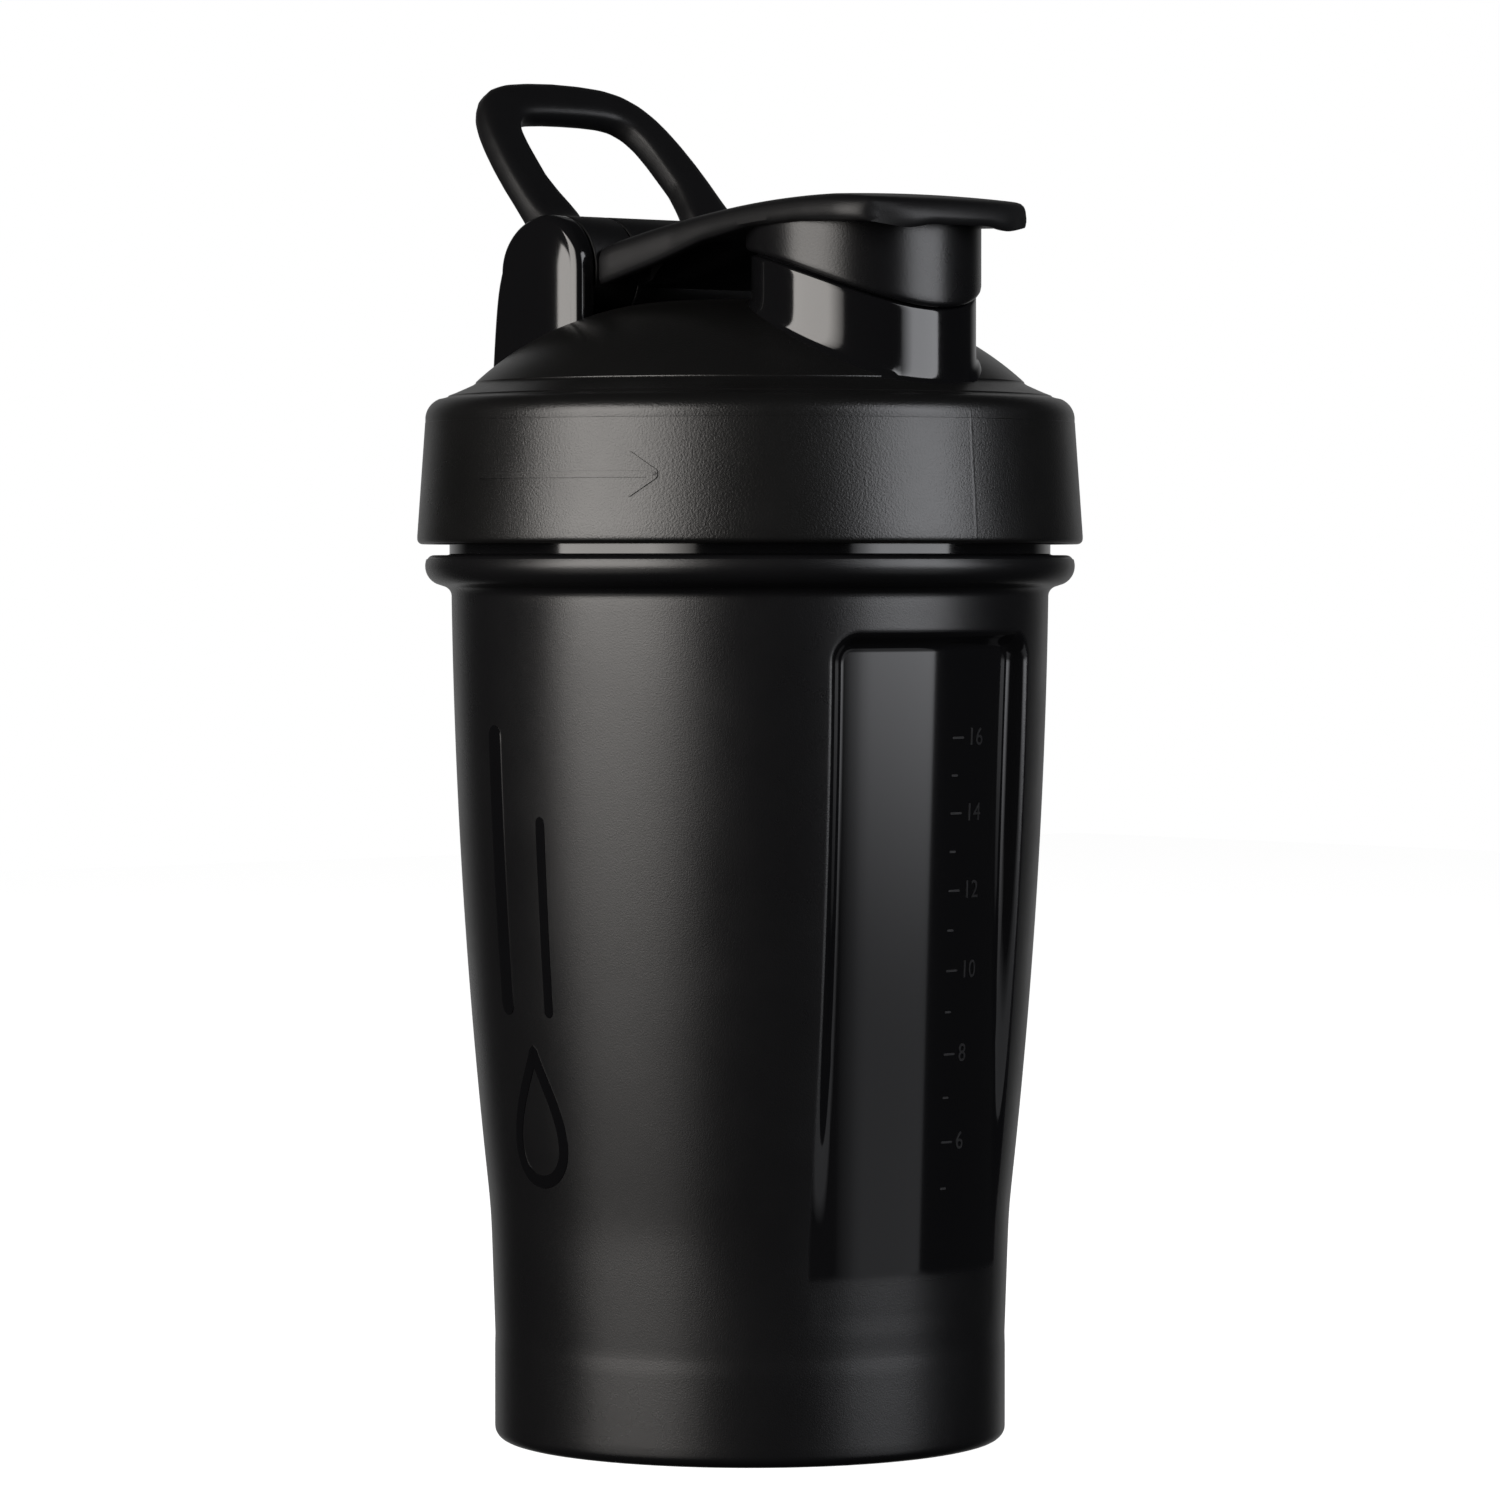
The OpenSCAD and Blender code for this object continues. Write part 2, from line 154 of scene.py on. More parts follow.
def studio_floor(half=1.6):
    """A pale square floor at the foot's height that glows almost white, so only a faint shadow shows."""
    foot_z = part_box("jar")[0].z
    mesh = bpy.data.meshes.new("floor")
    corners = [(-half, -half, foot_z), (half, -half, foot_z), (half, half, foot_z), (-half, half, foot_z)]
    mesh.from_pydata(corners, [], [(0, 1, 2, 3)])
    floor = bpy.data.objects.new("floor", mesh)
    bpy.context.scene.collection.objects.link(floor)
    material = bpy.data.materials.new("floor")
    material.use_nodes = True
    shader = material.node_tree.nodes["Principled BSDF"]
    shader.inputs["Base Color"].default_value = (0.5, 0.5, 0.5, 1)
    shader.inputs["Roughness"].default_value = 0.9
    shader.inputs["Specular IOR Level"].default_value = 0.0
    shader.inputs["Emission Color"].default_value = (1, 1, 1, 1)
    shader.inputs["Emission Strength"].default_value = 0.95
    mesh.materials.append(material)
    floor.visible_glossy = False
    floor.visible_diffuse = False


studio_floor()

# --- Jar ------------------------------------------------------------------------------------------
# The cup is one injection moulding in black polypropylene: a satin wall that flares above a straight
# band, a polished window set into its front, a rolled bead, and a threaded neck inside the lid.
wall = 1.8 * mm
band_r = 37.8 * mm
bead_z = 129 * mm
rim_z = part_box("jar")[1].z
neck_r = 44.4 * mm
flare_z = 35 * mm
flare_r = 38.4 * mm
flare_slope = 0.033
flare_arc = 922 * mm
widest_r = 44.2 * mm
widest_z = 137.6 * mm
pitch = 5 * mm
neck_thread_z = 139 * mm
neck_turns = 1.5
lid_thread_z = 136.65 * mm
lid_turns = 1.25
neck_foot_z = 130.62 * mm
window_top = 119.8 * mm
window_foot = 26.8 * mm
window_corner = 4.5 * mm
bevel_w = 2.7 * mm


def smooth_step(low, high, value):
    """0 below low, 1 above high, and 3t^2 - 2t^3 of the share t between them."""
    share = np.clip((value - low) / (high - low), 0, 1)
    return share * share * (3 - 2 * share)


def arc(cx, cz, radius, start, end, count):
    """count points on a circle about (cx, cz), from start to end degrees."""
    angle = np.radians(np.linspace(start, end, count))
    return np.stack([cx + radius * np.cos(angle), cz + radius * np.sin(angle)], 1)


def flare_radius(z):
    """Outer radius of the wall: the foot band, a slight lean above it, then one long arc that the lean
    runs into smoothly."""
    flare = widest_r - flare_arc + np.sqrt(flare_arc ** 2 - (z - widest_z) ** 2)
    lean = np.interp(z, [13.4 * mm, 15.6 * mm, flare_z], [band_r, band_r - 0.05 * mm, flare_r])
    lean = np.where(z > flare_z, flare_r + (z - flare_z) * flare_slope, lean)
    soft = 0.12 * mm
    return lean + soft * np.logaddexp(0, (flare - lean) / soft)


def window_inset(angle, z):
    """Distance inside the window's rounded outline, in metres: positive inside, negative outside."""
    across = np.abs(angle) * flare_radius(z)
    half_w = 19.2 * mm + 0.8 * mm * (z - 36 * mm) / (82 * mm)
    qx = across - (half_w - window_corner)
    qz = z - (window_top - window_corner)
    outside = np.hypot(np.maximum(qx, 0), np.maximum(qz, 0))
    return window_corner - outside - np.minimum(np.maximum(qx, qz), 0)


def window_depth(angle, z):
    """How far the wall is set in: down to a straight-sided cone inside the outline, with a soft bevel."""
    panel = 38.3 * mm + (z - 32 * mm) * (3.25 / 86.5)
    full = np.maximum(flare_radius(z) - panel, 0)
    return full * smooth_step(0, bevel_w, window_inset(angle, z))


def make_mesh(name, points, faces, sharp=35):
    """A shaded mesh object from points and faces, with edges sharper than sharp degrees kept crisp."""
    mesh = bpy.data.meshes.new(name)
    mesh.from_pydata(np.asarray(points).reshape(-1, 3).tolist(), [], faces)
    mesh.polygons.foreach_set("use_smooth", np.ones(len(mesh.polygons), bool))
    mesh.validate()
    mesh.update()
    mesh.set_sharp_from_angle(angle=math.radians(sharp))
    piece = bpy.data.objects.new(name, mesh)
    bpy.context.scene.collection.objects.link(piece)
    return piece


def ring_faces(rings, around, closed=False, first=0):
    """Quads between neighbouring rings of points; closed joins the last ring to the first."""
    rows = rings if closed else rings - 1
    i, j = np.meshgrid(np.arange(rows), np.arange(around), indexing="ij")
    k = (i + 1) % rings
    n = (j + 1) % around
    quads = np.stack([i * around + j, i * around + n, k * around + n, k * around + j], -1)
    return (quads.reshape(-1, 4) + first).tolist()


def fan_faces(start, around, centre, flip=False):
    """Triangles from a ring of points to a centre point."""
    j = np.arange(around)
    a, b = start + j, start + (j + 1) % around
    order = [b, a] if flip else [a, b]
    return np.stack([*order, np.full(around, centre)], 1).tolist()


def turned(profile, angles, inset=None):
    """A profile of (radius, z) carried round the Z axis; angle 0 faces -Y. inset(angle, z) moves it in."""
    radius = profile[:, None, 0]
    z = profile[:, None, 1]
    turn = angles[None, :]
    if inset is not None:
        radius = radius - inset(turn, z)
    radius = radius + 0 * turn
    return np.stack([radius * np.sin(turn), -radius * np.cos(turn), z + 0 * turn], -1)


def thread_ridge(root_r, crest_r, z0, turns, land=1.5 * mm, steps=60):
    """A helical ridge: a trapezoid section carried up the thread, shrinking to nothing at both ends."""
    share = np.linspace(0, 1, int(turns * steps) + 1)
    turn = share * turns * 2 * math.pi
    grow = np.clip(np.minimum(share, 1 - share) * turns * 10, 0, 1)
    tip = root_r + (crest_r - root_r) * (0.3 + 0.7 * grow)
    centre = z0 + pitch * turn / (2 * math.pi)
    offsets = np.array([[0, -0.5], [0.8, -0.36], [1, -0.24], [1, 0.24], [0.8, 0.36], [0, 0.5]])
    radius = root_r + (tip - root_r)[:, None] * offsets[None, :, 0]
    z = centre[:, None] + land * offsets[None, :, 1]
    points = np.stack([radius * np.cos(turn)[:, None], radius * np.sin(turn)[:, None], z], -1)
    if crest_r > root_r:
        points = points[:, ::-1]
    return points


def closed_strip(points, first=0):
    """Faces of a strip of closed sections, with both ends capped."""
    rings, around = points.shape[:2]
    last = first + (rings - 1) * around
    ends = [[first + j for j in range(around - 1, -1, -1)], [last + j for j in range(around)]]
    return ring_faces(rings, around, first=first) + ends


def wrapped(turn):
    """The same angle between -pi and pi."""
    return (turn + math.pi) % (2 * math.pi) - math.pi


edge_half = math.radians(8)
jar_angles = np.unique(np.concatenate([
    np.radians(np.arange(0, 360, 3.0)),
    math.radians(27) + np.linspace(-edge_half, edge_half, 46),
    math.radians(333) + np.linspace(-edge_half, edge_half, 46)]).round(6))
wall_z = np.concatenate([
    np.linspace(13.4, 15.6, 5), np.linspace(17, 47, 26), np.linspace(49, 112, 28),
    np.linspace(112.4, 120.6, 26), [122.5, 124.2]]) * mm
outer_profile = np.concatenate([
    np.array([[31.6, 1], [32.2, 0.95], [32.7, 0.5], [33, 0.05], [33.4, 0]]) * mm,
    arc(band_r - 1.8 * mm, 1.8 * mm, 1.8 * mm, -90, 0, 9),
    [[band_r, 3 * mm], [band_r, 12.6 * mm]],
    np.stack([flare_radius(wall_z), wall_z], 1),
    arc(44.1 * mm + 1.5 * mm, 124.55 * mm, 1.5 * mm, 178, 112, 7),
    arc(45.1 * mm, bead_z, 2.9 * mm, -66, 20, 14),
    arc(46.7 * mm, 129.5 * mm, 1.1 * mm, 28, 90, 6),
    [[neck_r + 0.5 * mm, 130.6 * mm], [neck_r + 0.14 * mm, 130.66 * mm], [neck_r, 130.8 * mm]],
    [[neck_r, 130.9 * mm], [neck_r, 131 * mm], [neck_r, 134 * mm], [neck_r, rim_z - 0.7 * mm]],
    arc(neck_r - 0.7 * mm, rim_z - 0.7 * mm, 0.7 * mm, 10, 90, 6)])
inner_z = np.concatenate([[125 * mm], wall_z[:3:-1], [12 * mm, 9 * mm]])
inner_profile = np.concatenate([
    arc(neck_r - wall + 0.6 * mm, rim_z - 0.6 * mm, 0.6 * mm, 90, 180, 5),
    [[neck_r - wall, 140 * mm], [neck_r - wall, 131 * mm]],
    np.stack([np.minimum(flare_radius(inner_z) - wall, neck_r - wall), inner_z], 1),
    arc(band_r - wall - 4 * mm, 7.4 * mm, 4 * mm, 0, -90, 8)])
jar_profile = np.concatenate([outer_profile, inner_profile])


def jar_inset(turn, z):
    """The window's depth, kept off the bead and the neck."""
    return window_depth(wrapped(turn), np.minimum(z, 124 * mm)) * (z < 122 * mm) * (z > 20 * mm)


def jar_piece():
    """The jar's turned wall and its neck thread as one object, with a mask of the polished window."""
    rings = turned(jar_profile, jar_angles, jar_inset)
    around = len(jar_angles)
    count = len(jar_profile) * around
    points = rings.reshape(-1, 3)
    faces = ring_faces(len(jar_profile), around)
    floor_centres = [[0, 0, 1 * mm], [0, 0, 3.4 * mm]]
    faces += fan_faces(0, around, count, flip=True)
    faces += fan_faces(count - around, around, count + 1)
    ridge = thread_ridge(neck_r - 0.4 * mm, neck_r + 1.2 * mm, neck_thread_z, neck_turns)
    faces += closed_strip(ridge, count + 2)
    everything = np.concatenate([points, floor_centres, ridge.reshape(-1, 3)])
    piece = make_mesh("jar_shell", everything, faces)
    angle = wrapped(np.arctan2(everything[:, 0], -everything[:, 1]))
    radius = np.hypot(everything[:, 0], everything[:, 1])
    height = everything[:, 2]
    inset = window_inset(angle, height)
    lower = smooth_step(window_foot - 0.4 * mm, window_foot + 0.4 * mm, height)
    outside = radius > flare_radius(height) - wall * 0.5 - window_depth(angle, height)
    polish = smooth_step(0.1 * mm, 0.7 * mm, inset) * lower * outside * (height < 121 * mm)
    polish = np.maximum(polish, (height > neck_foot_z) * 1.0)
    mask = piece.data.attributes.new("polish", "FLOAT", "POINT")
    mask.data.foreach_set("value", polish.astype(np.float32))
    return piece


def grain_group():
    """Shared moulded surface: fine spark-eroded grain and slow waviness as one height, and its wear."""
    group = bpy.data.node_groups.new("moulded_grain", "ShaderNodeTree")
    face = group.interface
    face.new_socket("Vector", in_out="INPUT", socket_type="NodeSocketVector")
    face.new_socket("Grain Size", in_out="INPUT", socket_type="NodeSocketFloat")
    face.new_socket("Waviness", in_out="INPUT", socket_type="NodeSocketFloat")
    face.new_socket("Height", in_out="OUTPUT", socket_type="NodeSocketFloat")
    face.new_socket("Smudge", in_out="OUTPUT", socket_type="NodeSocketFloat")
    node = group.nodes.new
    link = group.links.new
    source = node("NodeGroupInput")
    out = node("NodeGroupOutput")
    inverse = node("ShaderNodeMath")
    inverse.operation = "DIVIDE"
    inverse.inputs[0].default_value = 1
    link(source.outputs["Grain Size"], inverse.inputs[1])
    grain = node("ShaderNodeTexNoise")
    grain.inputs["Detail"].default_value = 2
    grain.inputs["Roughness"].default_value = 0.6
    link(source.outputs["Vector"], grain.inputs["Vector"])
    link(inverse.outputs["Value"], grain.inputs["Scale"])
    waves = node("ShaderNodeTexNoise")
    waves.inputs["Scale"].default_value = 60
    waves.inputs["Detail"].default_value = 1
    link(source.outputs["Vector"], waves.inputs["Vector"])
    total = node("ShaderNodeMath")
    total.operation = "MULTIPLY_ADD"
    link(waves.outputs["Fac"], total.inputs[0])
    link(source.outputs["Waviness"], total.inputs[1])
    link(grain.outputs["Fac"], total.inputs[2])
    link(total.outputs["Value"], out.inputs["Height"])
    smudge = node("ShaderNodeTexNoise")
    smudge.inputs["Scale"].default_value = 38
    smudge.inputs["Detail"].default_value = 5
    smudge.inputs["Roughness"].default_value = 0.62
    link(source.outputs["Vector"], smudge.inputs["Vector"])
    link(smudge.outputs["Fac"], out.inputs["Smudge"])
    return group


moulded_grain = grain_group()


def plastic(name, colour, rough, grain_mm, depth_mm, waviness=0.0, polish=None, smudge=0.04, shine=0.5):
    """Moulded polypropylene or rubber: grain of a given size and depth in mm, and faint uneven gloss.
    polish is the roughness where the piece's polish attribute is 1."""
    material = bpy.data.materials.new(name)
    material.use_nodes = True
    tree = material.node_tree
    link = tree.links.new
    shader = tree.nodes["Principled BSDF"]
    shader.inputs["Base Color"].default_value = (*colour, 1)
    shader.inputs["IOR"].default_value = 1.49
    shader.inputs["Specular IOR Level"].default_value = shine
    place = tree.nodes.new("ShaderNodeTexCoord")
    grain = tree.nodes.new("ShaderNodeGroup")
    grain.node_tree = moulded_grain
    grain.inputs["Grain Size"].default_value = grain_mm * mm
    grain.inputs["Waviness"].default_value = waviness
    link(place.outputs["Object"], grain.inputs["Vector"])
    bump = tree.nodes.new("ShaderNodeBump")
    bump.inputs["Strength"].default_value = 1
    bump.inputs["Distance"].default_value = depth_mm * mm
    link(grain.outputs["Height"], bump.inputs["Height"])
    link(bump.outputs["Normal"], shader.inputs["Normal"])
    gloss = tree.nodes.new("ShaderNodeMapRange")
    gloss.inputs["From Min"].default_value = 0.3
    gloss.inputs["From Max"].default_value = 0.7
    gloss.inputs["To Min"].default_value = rough - smudge
    gloss.inputs["To Max"].default_value = rough + smudge
    link(grain.outputs["Smudge"], gloss.inputs["Value"])
    result = gloss.outputs["Result"]
    if polish is not None:
        mask = tree.nodes.new("ShaderNodeAttribute")
        mask.attribute_name = "polish"
        mix = tree.nodes.new("ShaderNodeMix")
        mix.inputs["B"].default_value = polish
        link(mask.outputs["Fac"], mix.inputs["Factor"])
        link(result, mix.inputs["A"])
        result = mix.outputs["Result"]
        still = tree.nodes.new("ShaderNodeMapRange")
        still.inputs["To Min"].default_value = 1
        still.inputs["To Max"].default_value = 0.03
        link(mask.outputs["Fac"], still.inputs["Value"])
        link(still.outputs["Result"], bump.inputs["Strength"])
    link(result, shader.inputs["Roughness"])
    return material


def fit(piece, body, material, slot, *replaced):
    """Gives a finished piece its material and hangs it on its body; its slot argument is not used."""
    piece.data.materials.clear()
    piece.data.materials.append(material)
    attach(piece, body)
    if replaced:
        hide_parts(*replaced)
    return piece


jar_satin = plastic("jar_satin", (0.0045, 0.0045, 0.005), 0.3, 0.22, 0.02, polish=0.09, shine=0.45)
fit(jar_piece(), "jar", jar_satin, "jar_plastic", "jar")

# --- Jar marks ------------------------------------------------------------------------------------
# Raised marks of the jar's mould: a scale of ounces beside the window's middle, and on the left side a
# plain glossy decoration of two upright bars and a drop, with no letters.
mark_h = 0.09 * mm


def stroke(path, width, height=mark_h, closed=False):
    """A raised line along (across, up) points: at each point a flat-topped section with a buried edge.
    Returns sections of (across, up, height); an open line's ends are round."""
    path = np.array(path, float)
    ahead = np.gradient(path, axis=0)
    if closed:
        ahead = np.roll(path, -1, 0) - np.roll(path, 1, 0)
    ahead /= np.linalg.norm(ahead, axis=1, keepdims=True)
    side = np.stack([ahead[:, 1], -ahead[:, 0]], 1)
    half = np.full(len(path), width / 2)
    if not closed:
        gone = np.concatenate([[0], np.cumsum(np.linalg.norm(np.diff(path, axis=0), axis=1))])
        left = np.clip(np.minimum(gone, gone[-1] - gone), 0, width / 2)
        half = np.sqrt(np.maximum((width / 2) ** 2 - (width / 2 - left) ** 2, (0.04 * width) ** 2))
    across = np.array([-1, -0.9, -0.45, 0, 0.45, 0.9, 1])
    up = np.array([-1, 1, 1, 1, 1, 1, -1]) * height
    plan = path[:, None, :] + side[:, None, :] * (half[:, None] * across[None, :])[:, :, None]
    return np.concatenate([plan, np.broadcast_to(up[None, :, None], plan.shape[:2] + (1,))], 2)


def line(start, end, width, **more):
    """A straight raised line with round ends, sampled every millimetre and more finely near its ends."""
    start, end = np.array(start, float), np.array(end, float)
    length = np.linalg.norm(end - start)
    tip = (1 - np.cos(np.linspace(0, math.pi / 2, 6))) * width / 2
    steps = max(3, round(length / mm))
    along = np.concatenate([tip, np.linspace(width / 2, length - width / 2, steps)[1:-1], length - tip[::-1]])
    return stroke(start + (end - start) * (along / length)[:, None], width, **more)


def on_wall(sections, angle, radius_at, spread):
    """Wraps (across, up, height) sections round the bottle, centred on an angle; spread is the radius that
    turns a distance across into an angle."""
    turn = angle + sections[..., 0] / spread
    radius = radius_at(turn, sections[..., 1]) + sections[..., 2]
    return np.stack([radius * np.sin(turn), -radius * np.cos(turn), sections[..., 1]], -1)


def marks_piece(name, strokes, angle, radius_at, spread):
    """Joins several strokes into one object; a stroke is its sections and whether it closes on itself."""
    points, faces = [], []
    count = 0
    for sections, closed in strokes:
        rings = on_wall(sections, angle, radius_at, spread)
        around = rings.shape[1]
        if closed:
            faces += ring_faces(len(rings), around, closed=True, first=count)
        else:
            faces += closed_strip(rings, count)
        points.append(rings.reshape(-1, 3))
        count += rings.shape[0] * around
    return make_mesh(name, np.concatenate(points), faces)


def wall_radius(turn, z):
    """The jar's outer surface, window included."""
    return flare_radius(z) - window_depth(wrapped(turn), z)


def ounce_heights(ounces):
    """Heights that the drink reaches, by adding up the area inside the wall above the floor."""
    z = np.linspace(3.4 * mm, 125 * mm, 400)
    area = math.pi * (flare_radius(z) - wall) ** 2
    volume = np.concatenate([[0], np.cumsum((area[1:] + area[:-1]) / 2 * np.diff(z))])
    return np.interp(np.array(ounces) * 29.57e-6, volume, z)


def numeral(text, height):
    """A number as a flat mesh: points (across, up) from its left edge and middle, and its faces."""
    data = bpy.data.curves.new("numeral", "FONT")
    data.body = text
    data.size = height * 1.4
    data.extrude = mark_h
    data.align_y = "CENTER"
    letter = bpy.data.objects.new("numeral", data)
    bpy.context.scene.collection.objects.link(letter)
    bpy.context.view_layer.update()
    mesh = bpy.data.meshes.new_from_object(letter.evaluated_get(bpy.context.evaluated_depsgraph_get()))
    points = np.array([list(vertex.co) for vertex in mesh.vertices]).round(7)
    points, shared = np.unique(points, axis=0, return_inverse=True)
    faces = [shared.ravel()[list(face.vertices)].tolist() for face in mesh.polygons]
    bpy.data.objects.remove(letter)
    return points, faces


def scale_piece():
    """Ticks at every ounce, longer at each second one, which also has its number beside it."""
    angle = math.radians(4.2)
    spread = 40 * mm
    ounces = np.arange(5, 17)
    strokes = []
    points, faces = [], []
    for ounce, z in zip(ounces, ounce_heights(ounces)):
        length = 2.4 * mm if ounce % 2 == 0 else 1.3 * mm
        strokes.append((line([0, z], [length, z], 0.34 * mm, height=0.06 * mm), False))
        if ounce % 2 == 0:
            flat, parts = numeral(str(ounce), 2.6 * mm)
            flat = flat + np.array([3.2 * mm, z, 0])
            count = sum(len(part) for part in points)
            points.append(on_wall(flat, angle, wall_radius, spread))
            faces += [[corner + count for corner in part] for part in parts]
    ticks = marks_piece("scale_ticks", strokes, angle, wall_radius, spread)
    numbers = make_mesh("scale_numbers", np.concatenate(points), faces)
    return ticks, numbers


def drop_outline(width, height, count=64):
    """A drop: round below, drawn to a soft point above."""
    turn = np.linspace(0, 2 * math.pi, count, endpoint=False)
    narrow = np.sin(turn / 2) ** 1.5
    return np.stack([-width / 2 * np.sin(turn) * narrow * 1.15, -height / 2 * -np.cos(turn)], 1)


scale_satin = plastic("scale_satin", (0.009, 0.009, 0.01), 0.42, 0.2, 0.01)
for piece in scale_piece():
    fit(piece, "jar", scale_satin, "jar_plastic")
jar_gloss = plastic("jar_gloss", (0.003, 0.003, 0.0035), 0.12, 0.3, 0.001)
bars = [(line([-5.6 * mm, 64 * mm], [-5.6 * mm, 106 * mm], 3.4 * mm), False),
        (line([4 * mm, 64 * mm], [4 * mm, 93 * mm], 1.8 * mm), False),
        (stroke(drop_outline(13 * mm, 19 * mm) + [0, 49.5 * mm], 2 * mm, closed=True), True)]
decoration = marks_piece("jar_decoration", bars, math.radians(-91), wall_radius, 41 * mm)
fit(decoration, "jar", jar_gloss, "jar_plastic")

# --- Lid ------------------------------------------------------------------------------------------
# The screw lid is one moulding: a grained skirt and dome from a textured mould, whose parting line
# runs up the front and back, and polished spout and towers, which are their own surfaces below.
skirt_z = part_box("lid")[0].z
dome_arc = 45 * mm
crown_r = 10 * mm
crown_z = 168 * mm
lid_wall = 4 * mm
skirt_r = 49.16 * mm
shoulder_r = 47.99 * mm
skirt_foot_z = 133.4 * mm
shoulder_z = 149.9 * mm
dome_z0 = crown_z - dome_arc
ledge_angle = math.degrees(math.asin((156.1 * mm - dome_z0) / dome_arc))
hinge = np.array(joints["cap_flip"]["pos_m"])
trough_r = 8.8 * mm
tower_in = 20.55 * mm
spout_y = 25.1 * mm
bore_r = 13.6 * mm

lid_angles = np.unique(np.concatenate([
    np.linspace(0, 2 * math.pi, 240, endpoint=False),
    np.linspace(-0.02, 0.02, 13) % (2 * math.pi),
    np.linspace(-0.02, 0.02, 13) + math.pi]).round(6))
lid_outer = np.concatenate([
    [[46.9 * mm, skirt_z + 0.3 * mm], [47.1 * mm, skirt_z]],
    arc(48.36 * mm, skirt_z + 0.8 * mm, 0.8 * mm, -90, 4, 7),
    np.stack([np.linspace(skirt_r, shoulder_r, 10), np.linspace(skirt_foot_z, shoulder_z, 10)], 1),
    [[47.98 * mm, 150.1 * mm], [47.94 * mm, 150.14 * mm]],
    arc(44.75 * mm, 150.6 * mm, 3.2 * mm, 4, 66, 12),
    np.array([[45.3, 153.68], [44.8, 153.84], [44.62, 153.92], [44.57, 154.0], [44.5, 154.08],
              [44.3, 154.16], [43.6, 154.42], [42, 155.12], [41, 155.58], [40.76, 155.72],
              [40.6, 155.84], [40.5, 155.96]]) * mm,
    arc(crown_r, dome_z0, dome_arc, ledge_angle, 89.5, 40)])
lid_inner = np.concatenate([
    arc(crown_r, dome_z0, dome_arc - lid_wall, 89.5, 46, 16),
    [[41.2 * mm, 152.5 * mm], [45.4 * mm, 152.5 * mm], [45.9 * mm, 152 * mm]],
    np.stack([np.linspace(46.02, 46.85, 6) * mm, np.linspace(151, 133, 6) * mm], 1)])
lid_profile = np.concatenate([lid_outer, lid_inner])


def parting_line(turn, z):
    """A flash ridge 0.03 mm high where the mould's halves met, at the front and back of the skirt."""
    off = np.minimum(np.abs(wrapped(turn)), np.abs(wrapped(turn - math.pi))) * 48 * mm
    return -0.03 * mm * np.exp(-((off / (0.16 * mm)) ** 2)) * (z < 151 * mm) * (z > 133 * mm)


def tube(name, radius, start, end, around=96):
    """A plain closed cylinder between two points, used as a cutting tool and then removed."""
    start, end = np.array(start), np.array(end)
    axis = (end - start) / np.linalg.norm(end - start)
    side = np.cross(axis, [0, 0, 1] if abs(axis[2]) < 0.9 else [1, 0, 0])
    side = side / np.linalg.norm(side)
    up = np.cross(axis, side)
    turn = np.linspace(0, 2 * math.pi, around, endpoint=False)[:, None]
    ring = radius * (side * np.cos(turn) + up * np.sin(turn))
    points = np.stack([start + ring, end + ring])
    return make_mesh(name, points, closed_strip(points))


def cut(piece, cutter):
    """Takes a cutter's volume out of a piece for good, and removes the cutter."""
    step = piece.modifiers.new("cut", "BOOLEAN")
    step.object = cutter
    step.operation = "DIFFERENCE"
    step.solver = "EXACT"
    evaluated = piece.evaluated_get(bpy.context.evaluated_depsgraph_get())
    mesh = bpy.data.meshes.new_from_object(evaluated)
    piece.modifiers.clear()
    piece.data = mesh
    mesh.polygons.foreach_set("use_smooth", np.ones(len(mesh.polygons), bool))
    mesh.set_sharp_from_angle(angle=math.radians(35))
    bpy.data.objects.remove(cutter)


def lid_piece():
    """The turned lid wall, cut by the knuckles' trough and the spout's passage."""
    rings = turned(lid_profile, lid_angles, parting_line)
    around = len(lid_angles)
    # the two crown rings close to single points, on the outer face and the inner one
    top = len(lid_outer)
    count = len(lid_profile) * around
    points = np.concatenate([rings.reshape(-1, 3), [[0, 0, crown_z], [0, 0, crown_z - lid_wall]]])
    faces = ring_faces(top, around)
    faces += ring_faces(len(lid_inner), around, first=top * around)
    faces += fan_faces((top - 1) * around, around, count)
    faces += fan_faces(top * around, around, count + 1, flip=True)
    j = np.arange(around)
    n = (j + 1) % around
    last = (len(lid_profile) - 1) * around
    faces += np.stack([last + j, last + n, n, j], 1).tolist()
    piece = make_mesh("lid_cover", points, faces)
    cut(piece, tube("trough", trough_r, [-tower_in, *hinge[1:]], [tower_in, *hinge[1:]]))
    cut(piece, tube("passage", bore_r, [0, -spout_y, 140 * mm], [0, -spout_y, 190 * mm]))
    return piece


lid_grain = plastic("lid_grain", (0.0045, 0.0045, 0.0045), 0.3, 0.32, 0.042)
fit(lid_piece(), "lid", lid_grain, "lid_plastic", "lid")
lid_thread = thread_ridge(47.4 * mm, 45.05 * mm, lid_thread_z, lid_turns)
fit(make_mesh("lid_thread", lid_thread, closed_strip(lid_thread)), "lid", lid_grain, "lid_plastic", "lid")


def skirt_radius(turn, z):
    """The skirt's outer surface, which leans in towards the shoulder."""
    lean = (skirt_r - shoulder_r) / (shoulder_z - skirt_foot_z)
    return skirt_r - (z - skirt_foot_z) * lean + 0 * turn


